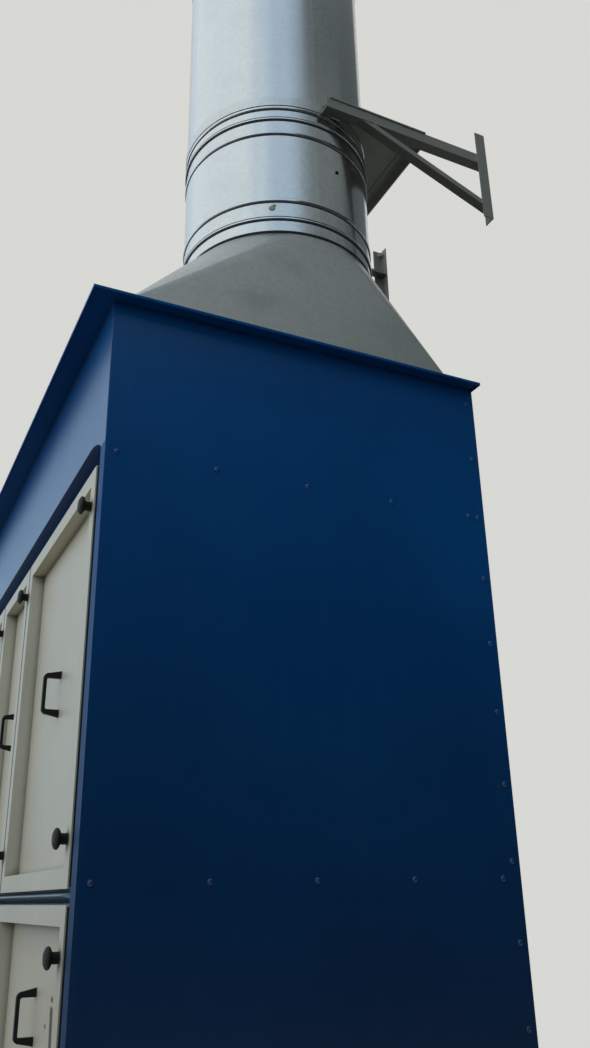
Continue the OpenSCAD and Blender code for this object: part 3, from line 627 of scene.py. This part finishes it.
def hood_skin(inward):
    """Points of the foot and the mouth for each generator line, with the outward normal on that line."""
    half = (hood_high.x - hood_low.x) / 2 - inward
    radius = stack_r - inward
    lines = []
    for corner, (sign_x, sign_y) in enumerate(((1, 1), (-1, 1), (-1, -1), (1, -1))):
        foot = Vector((hood_middle.x + sign_x * half, hood_middle.y + sign_y * half, hood_low.z))
        for step in range(corner_steps + 1):
            turned = 90 * step / corner_steps
            mouth = hood_mouth(90 * corner + turned, radius)[0]
            facing, along = hood_mouth(90 * corner + folded(turned), radius)
            lines.append((foot, mouth, along.cross(facing - foot).normalized()))
    return lines


def loft_hood():
    """Builds the hood as a shell of sheet between its outer and its inner skin, smooth but for its rims."""
    outer, inner = hood_skin(0.0), hood_skin(sheet_t)
    count = len(outer)
    points = [line[0] for line in outer] + [line[1] for line in outer]
    points += [line[0] for line in inner] + [line[1] for line in inner]
    normals = [line[2] for line in outer] * 2 + [-line[2] for line in inner] * 2
    faces = []
    for i in range(count):
        after = (i + 1) % count
        foot, foot_after, mouth, mouth_after = i, after, count + i, count + after
        if i % (corner_steps + 1) == corner_steps:
            faces += [(foot, foot_after, mouth)]
            faces += [(2 * count + foot_after, 2 * count + foot, 2 * count + mouth)]
            faces += [(foot_after, foot, 2 * count + foot, 2 * count + foot_after)]
        else:
            faces += [(foot, mouth_after, mouth)]
            faces += [(2 * count + foot, 2 * count + mouth, 2 * count + mouth_after)]
            faces += [(mouth, mouth_after, 2 * count + mouth_after, 2 * count + mouth)]
    mesh = bpy.data.meshes.new("smooth_hood")
    mesh.from_pydata(points, [], faces)
    mesh.validate()
    for polygon in mesh.polygons:
        polygon.use_smooth = True
    rim_faces = {polygon.index for polygon in mesh.polygons if len(polygon.vertices) == 4}
    corner_normals = []
    for polygon in mesh.polygons:
        for corner in polygon.vertices:
            normal = polygon.normal if polygon.index in rim_faces else normals[corner]
            corner_normals.append(tuple(normal))
    mesh.normals_split_custom_set(corner_normals)
    mesh.materials.append(dull_zinc_sheet)
    piece = bpy.data.objects.new("smooth_hood", mesh)
    scene.collection.objects.link(piece)
    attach(piece, "root")
    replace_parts(piece, "hood")


loft_hood()


# Zinc-plated hex bolts hold the hood's angle flange to the roof, the clamp band to the bracket arms and the
# bracket posts to the wall. Each has a flat washer under its head.
plated_steel = zinc_sheet("zinc_plated_steel", "#b9bcb8", "#a9aca9", roughness=0.34, band_mm=60,
                          band_depth=0.0005, stain="#8e8d86", stain_share=0.6)


def add_bolt(shape, place, axis, size, spin=0.0, stud=0.0):
    """Adds a washer and a chamfered hex head of the given thread size, and a stud end where asked."""
    washer_t = size * 0.2
    top = washer_t + size * 0.65
    chamfer_z = washer_t + size * 0.65 * 0.85
    washer = [(0, -0.001), (size * 1.1, -0.001), (size * 1.1, washer_t * 0.8), (size * 1.05, washer_t),
              (0, washer_t)]
    add_turned(shape, washer, place, axis, steps=20)
    head = [(0, washer_t), (size * 0.98, washer_t), (size * 0.98, chamfer_z), (size * 0.85, top), (0, top)]
    add_turned(shape, head, place, axis, steps=6, spin=spin)
    if stud:
        thread = [(0, top - 0.001), (size / 2, top - 0.001), (size / 2, top + stud * 0.85),
                  (size * 0.42, top + stud), (0, top + stud)]
        add_turned(shape, thread, place, axis, steps=12)


flange_low, flange_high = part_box("hood_flange")
flange_t = 0.004
flange_bolt_size, flange_bolt_pitch, flange_bolt_inset = 0.008, 0.16, 0.018
out = (flange_high.x - flange_low.x) / 2 - flange_bolt_inset
flange_bolts = bmesh.new()
for step in range(8):
    along = (step - 3.5) * flange_bolt_pitch
    for side in (-1, 1):
        for x, y in ((along, side * out), (side * out, along)):
            spot = (hood_middle.x + x, hood_middle.y + y, flange_low.z + flange_t)
            add_bolt(flange_bolts, spot, (0, 0, 1), flange_bolt_size, spin=0.3 * step)
new_piece("hood_flange_bolts", flange_bolts, plated_steel)

# The clamp band is a strip of pale zinc-plated steel.
strap_zinc = zinc_sheet("zinc_plated_strap", "#c9cccb", "#bbbfbf", roughness=0.34, band_mm=60,
                        band_depth=0.001, stain="#9da2a1", stain_share=0.4)
coat_nodes(["stack_clamp"], strap_zinc)


# The wall brackets are hot-rolled steel angle, cut and welded: a wall post, an arm lapped on it, and a light
# brace. A saddle plate joins the arms behind the stack. All are brushed with grey paint, which is painted
# paler where it faces up or sideways, as painted light, and stays dark underneath as painted shade. The
# brackets stand in for the CAD ones, whose upright legs are on the inner side.
def brushed_grey_paint(name, paint, worn_paint):
    """Brushed grey paint with rust blooming through, painted paler as painted light where it faces up or
    sideways.
    """
    material, tree = new_material(name)
    place = add_node(tree, "TexCoord").outputs["Object"]
    clouds = add_node(tree, "TexNoise", {"Vector": place, "Scale": per_mm(90), "Detail": 4.0})
    coat = add_node(tree, "Mix", {0: clouds, 6: paint, 7: worn_paint}, data_type="RGBA")
    bloom = add_node(tree, "TexNoise", {"Vector": place, "Scale": per_mm(35), "Detail": 6.0})
    rust = add_node(tree, "MapRange", {"Value": bloom, "From Min": 0.60, "From Max": 0.70,
                                       "To Min": 0.0, "To Max": 0.5}, interpolation_type="SMOOTHSTEP")
    rusty = add_node(tree, "Mix", {0: rust, 6: coat, 7: "#5b4334"}, data_type="RGBA")
    # Faces that look up or to the side are painted paler as painted light, and undersides keep the dark
    # paint as painted shade.
    way = add_node(tree, "NewGeometry").outputs["Normal"]
    tilt = add_node(tree, "SeparateXYZ", {"Vector": way}).outputs["Z"]
    painted_light_share = add_node(tree, "MapRange", {"Value": tilt, "From Min": -0.7, "From Max": 0.0,
                                        "To Min": 0.0, "To Max": 0.55}, interpolation_type="SMOOTHSTEP")
    painted_light_coat = add_node(tree, "Mix", {0: painted_light_share, 6: rusty, 7: "#b2b1a6"}, data_type="RGBA")
    fold = add_node(tree, "Bevel", {"Radius": 0.002}, samples=4)
    brushed = add_node(tree, "Bump", {"Height": bloom, "Distance": 0.0006, "Strength": 0.5, "Normal": fold})
    shader = add_node(tree, "BsdfPrincipled", {"Base Color": painted_light_coat, "Roughness": 0.5, "Normal": brushed})
    add_node(tree, "OutputMaterial", {"Surface": shader})
    return material


def angle_outline(flat, upright, thick, root_r=0.006, toe_r=0.0025):
    """Outline of rolled angle with its heel at 0, 0, the flat leg to the left and the upright leg up."""
    steps = 4
    outline = [(0.0, 0.0), (0.0, upright)]
    arcs = [(-thick + toe_r, upright - toe_r, toe_r, 90, 180),
            (-thick - root_r, thick + root_r, root_r, 0, -90),
            (-flat + toe_r, thick - toe_r, toe_r, 90, 180)]
    for x, y, radius, first, last in arcs:
        for step in range(steps + 1):
            turned = math.radians(first + (last - first) * step / steps)
            outline.append((x + radius * math.cos(turned), y + radius * math.sin(turned)))
    return outline + [(-flat, 0.0)]


def add_bar(shape, outline, heel, across, up, way, cuts):
    """Sweeps an outline along way and cuts it off at two planes, each a point and a normal."""
    rings = []
    for spot, normal in cuts:
        ring = []
        for x, y in outline:
            start = Vector(heel) + Vector(across) * x + Vector(up) * y
            reach = (Vector(spot) - start).dot(Vector(normal)) / Vector(way).dot(Vector(normal))
            ring.append(shape.verts.new(start + Vector(way) * reach))
        rings.append(ring)
    join_rings(shape, rings)


def add_weld(shape, start, end, size):
    """Adds a rippled weld bead of the given size along a line, with eight sides and pinched ends."""
    way = Vector(end) - Vector(start)
    turn = Vector((0, 0, 1)).rotation_difference(way).to_matrix()
    ripples = max(4, round(way.length / (size * 0.7)))
    last = 2 * ripples
    rings = []
    for step in range(last + 1):
        swell = size * (0.5 if step % 2 else 0.42)
        if step in (0, last):
            swell = size * 0.2
        middle = Vector(start) + way * step / last
        spots = [heading_at(math.pi / 4 * corner) * swell for corner in range(8)]
        rings.append([shape.verts.new(middle + turn @ spot) for spot in spots])
    join_rings(shape, rings)


grey_paint = brushed_grey_paint("brushed_grey_paint", "#55564f", "#62635b")
# The saddle plate and angle get a paler copy of the same grey paint, as painted light.
coat_nodes(["saddle_plate", "saddle_angle"],
           brushed_grey_paint("paler_lit_grey_saddle_paint", "#84857d", "#94958c"))

angle_leg, angle_t = 0.050, 0.005
brace_flat, brace_upright = 0.040, 0.025
brace_drop, brace_reach = 0.280, 0.600
lug_length, lug_clear = 0.100, 0.006
band_t = 0.005
saddle_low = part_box("saddle_plate")[0]
arm_top_z = saddle_low.z
arm_low_z = arm_top_z - angle_leg
weld_size = 0.006
saddle_weld_length = 0.050
saddle_weld_starts = (0.05, 0.20, 0.35, 0.42)
wall_bolt_size, wall_bolt_inset = 0.012, 0.030
wall_bolts_z = (arm_top_z + 0.090, arm_top_z - 0.220)
clamp_bolt_size, clamp_bolt_z = 0.010, arm_low_z + 0.025
clamp_bolts_y = (stack_axis.y + 0.048, stack_axis.y + 0.088)
for side, side_name in ((1, "right"), (-1, "left")):
    node_name = "wall_bracket_" + side_name
    node_low, node_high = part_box(node_name)
    wall_y = node_high.y
    inner_x = node_low.x if side > 0 else node_high.x
    post_x = inner_x + side * angle_leg
    arm_x = post_x - side * angle_t
    post_y = wall_y - angle_leg
    outward = (side, 0, 0)
    level = (0, 0, 1)
    bracket = bmesh.new()
    # The post has one leg flat on the wall and the other square to it on the outer side.
    post = angle_outline(angle_leg, angle_leg, angle_t)
    add_bar(bracket, post, (post_x, wall_y, 0), outward, (0, -1, 0), level,
            (((0, 0, node_low.z), level), ((0, 0, node_high.z), level)))
    # The arm's upright leg lies against the inner side of the post.
    along = (0, 1, 0)
    arm = angle_outline(angle_leg - angle_t, angle_leg, angle_t)
    add_bar(bracket, arm, (arm_x, 0, arm_low_z), outward, level, along,
            (((0, node_low.y, 0), along), ((0, wall_y - angle_t, 0), along)))
    # The brace is a lighter angle that runs from under the arm to the foot of the post.
    slope = math.atan2(brace_drop - angle_leg, brace_reach)
    way = (0, math.cos(slope), -math.sin(slope))
    square_to_way = (0, math.sin(slope), math.cos(slope))
    foot_z = arm_top_z - brace_drop
    brace = angle_outline(brace_flat, brace_upright, 0.004, 0.005, 0.002)
    add_bar(bracket, brace, (arm_x, post_y, foot_z), outward, square_to_way, way,
            (((0, 0, arm_low_z), level), ((0, wall_y - angle_t, 0), along)))
    # A lug on the arm takes the bolts of the clamp band.
    lug = [(inner_x, arm_low_z + angle_t), (inner_x, arm_top_z - lug_clear)]
    lug += [(x + side * angle_t, z) for x, z in lug[::-1]]
    add_prism(bracket, lug, node_low.y, node_low.y + lug_length, (0, 2))
    bmesh.ops.recalc_face_normals(bracket, faces=bracket.faces)
    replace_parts(new_piece("angle_bracket_" + side_name, bracket, grey_paint), node_name)

    welds = bmesh.new()
    add_weld(welds, (arm_x, post_y, arm_low_z), (arm_x, post_y, arm_top_z), 0.007)
    add_weld(welds, (arm_x, post_y, foot_z), (arm_x, post_y, foot_z + brace_upright), weld_size)
    head_y = post_y - brace_reach
    add_weld(welds, (arm_x, head_y + 0.004, arm_low_z), (arm_x, head_y + 0.066, arm_low_z), weld_size)
    for start in saddle_weld_starts:
        y = saddle_low.y + start
        add_weld(welds, (arm_x, y, arm_top_z), (arm_x, y + saddle_weld_length, arm_top_z), weld_size)
    new_piece("bracket_welds_" + side_name, welds, grey_paint, crease=60.0)

    bolts = bmesh.new()
    for z in wall_bolts_z:
        spot = (inner_x + side * wall_bolt_inset, wall_y - angle_t, z)
        add_bolt(bolts, spot, (0, -1, 0), wall_bolt_size, spin=0.4, stud=0.018)
    # The clamp bolts pass through the tail of the band and the lug.
    for y in clamp_bolts_y:
        lug_face = (inner_x + side * angle_t, y, clamp_bolt_z)
        band_face = (inner_x - side * band_t, y, clamp_bolt_z)
        add_bolt(bolts, lug_face, (side, 0, 0), clamp_bolt_size, spin=0.2, stud=0.012)
        add_bolt(bolts, band_face, (-side, 0, 0), clamp_bolt_size, spin=0.2)
    new_piece("bracket_bolts_" + side_name, bolts, plated_steel)
